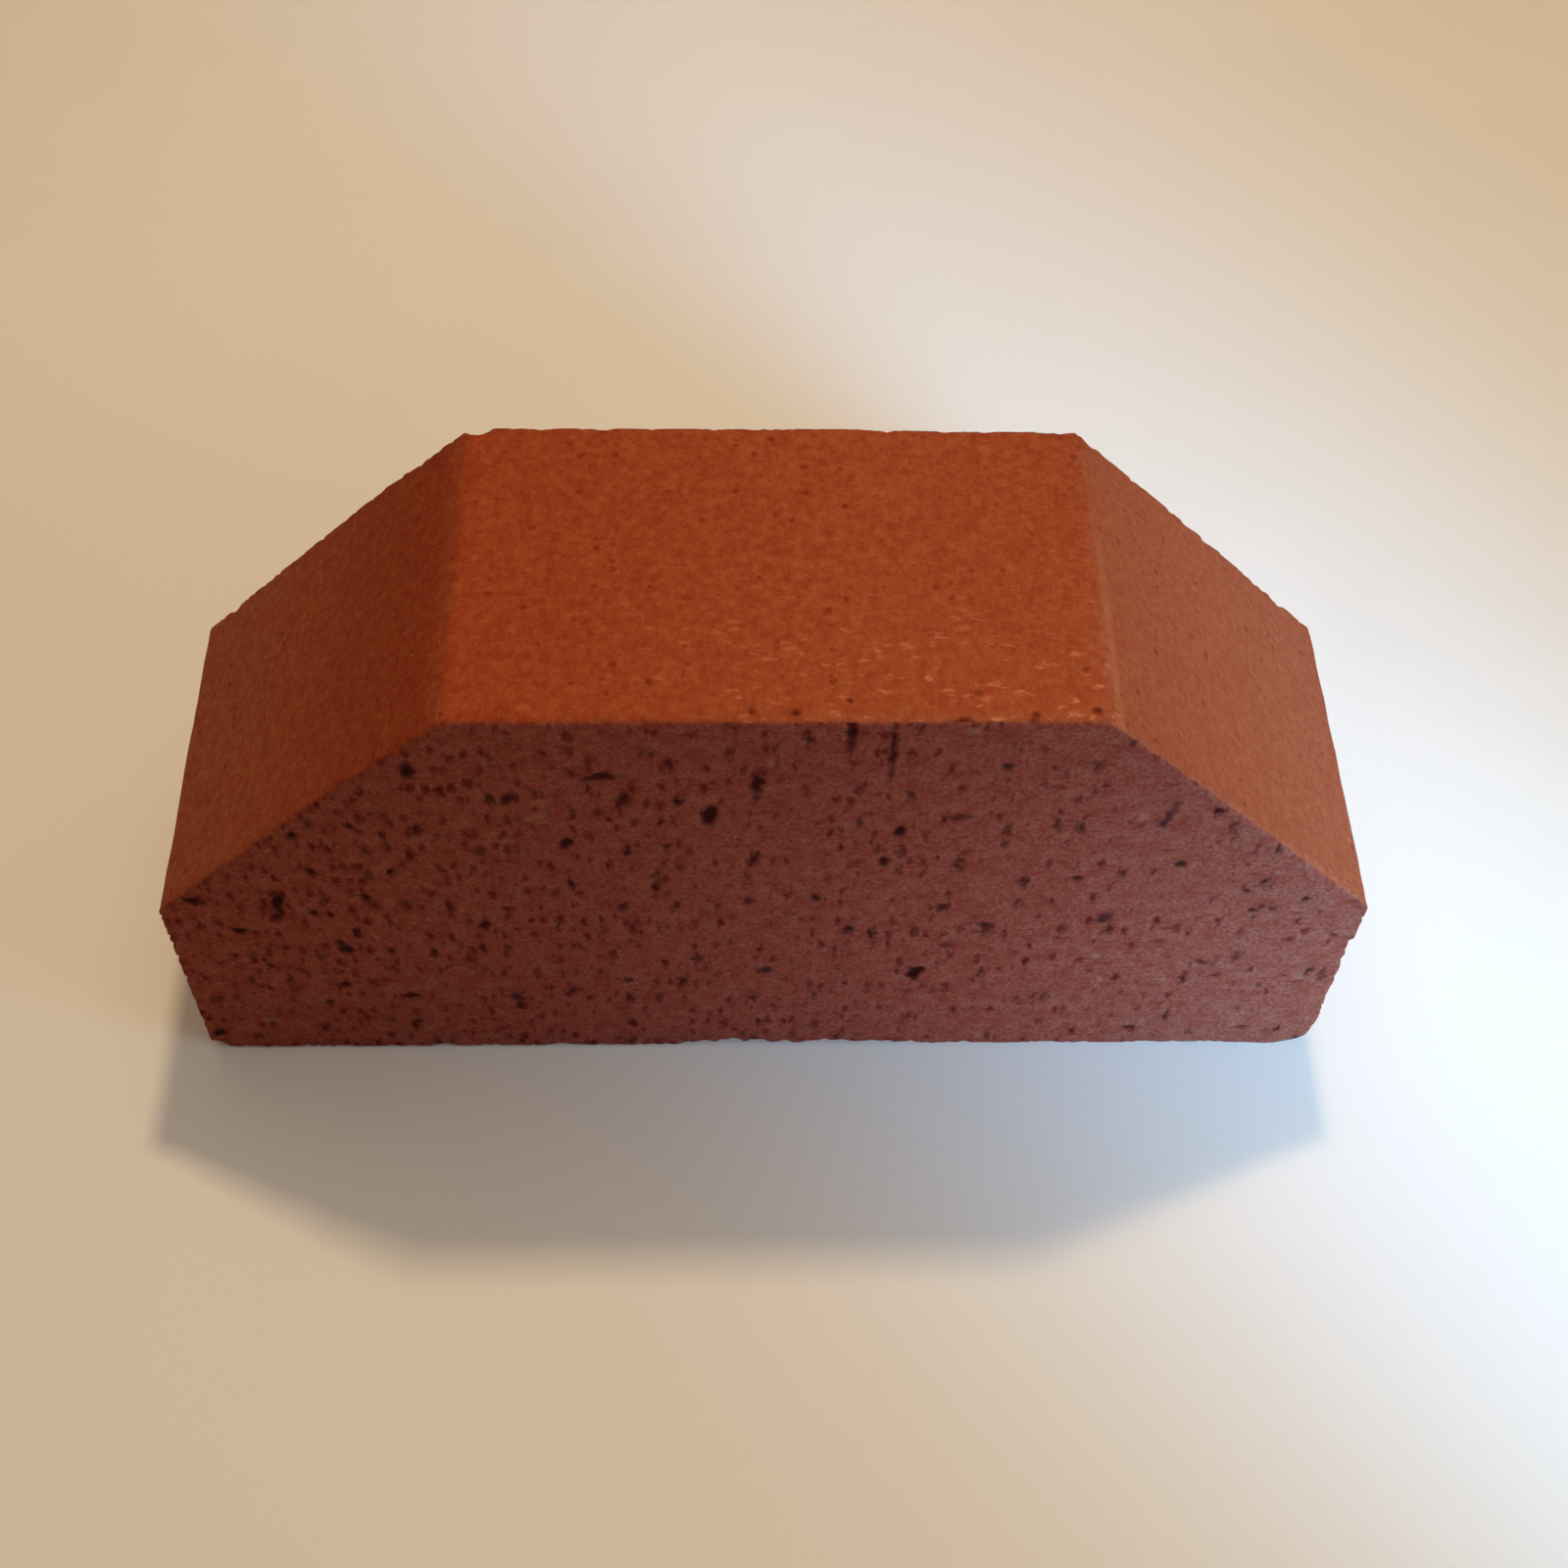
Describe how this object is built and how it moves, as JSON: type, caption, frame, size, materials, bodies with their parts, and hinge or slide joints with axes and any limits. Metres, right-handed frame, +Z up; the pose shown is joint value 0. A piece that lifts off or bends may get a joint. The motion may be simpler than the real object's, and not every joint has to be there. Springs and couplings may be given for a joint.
{
  "type": "double cant brick",
  "caption": "Solid fired clay special brick, a stretcher with both front corners canted, lying on its plain stretcher face, with softened arrises and chips.",
  "frame": {"origin": "middle of the plain stretcher face that the brick stands on", "axes": "+X along the 215 mm length towards the header with the broken arris, +Y along the 65 mm course height away from the cut face with the worn arris, +Z up along the 105 mm width towards the canted stretcher face"},
  "size_m": [0.215, 0.065, 0.105],
  "materials": {
    "fired_clay": "Unglazed fired red clay: smooth leathery orange-red skin on the extruded faces, purple-brown wire-cut bedding faces with dark iron spots."
  },
  "bodies": {
    "root": {"cant_brick": "fired_clay"}
  },
  "joints": []
}
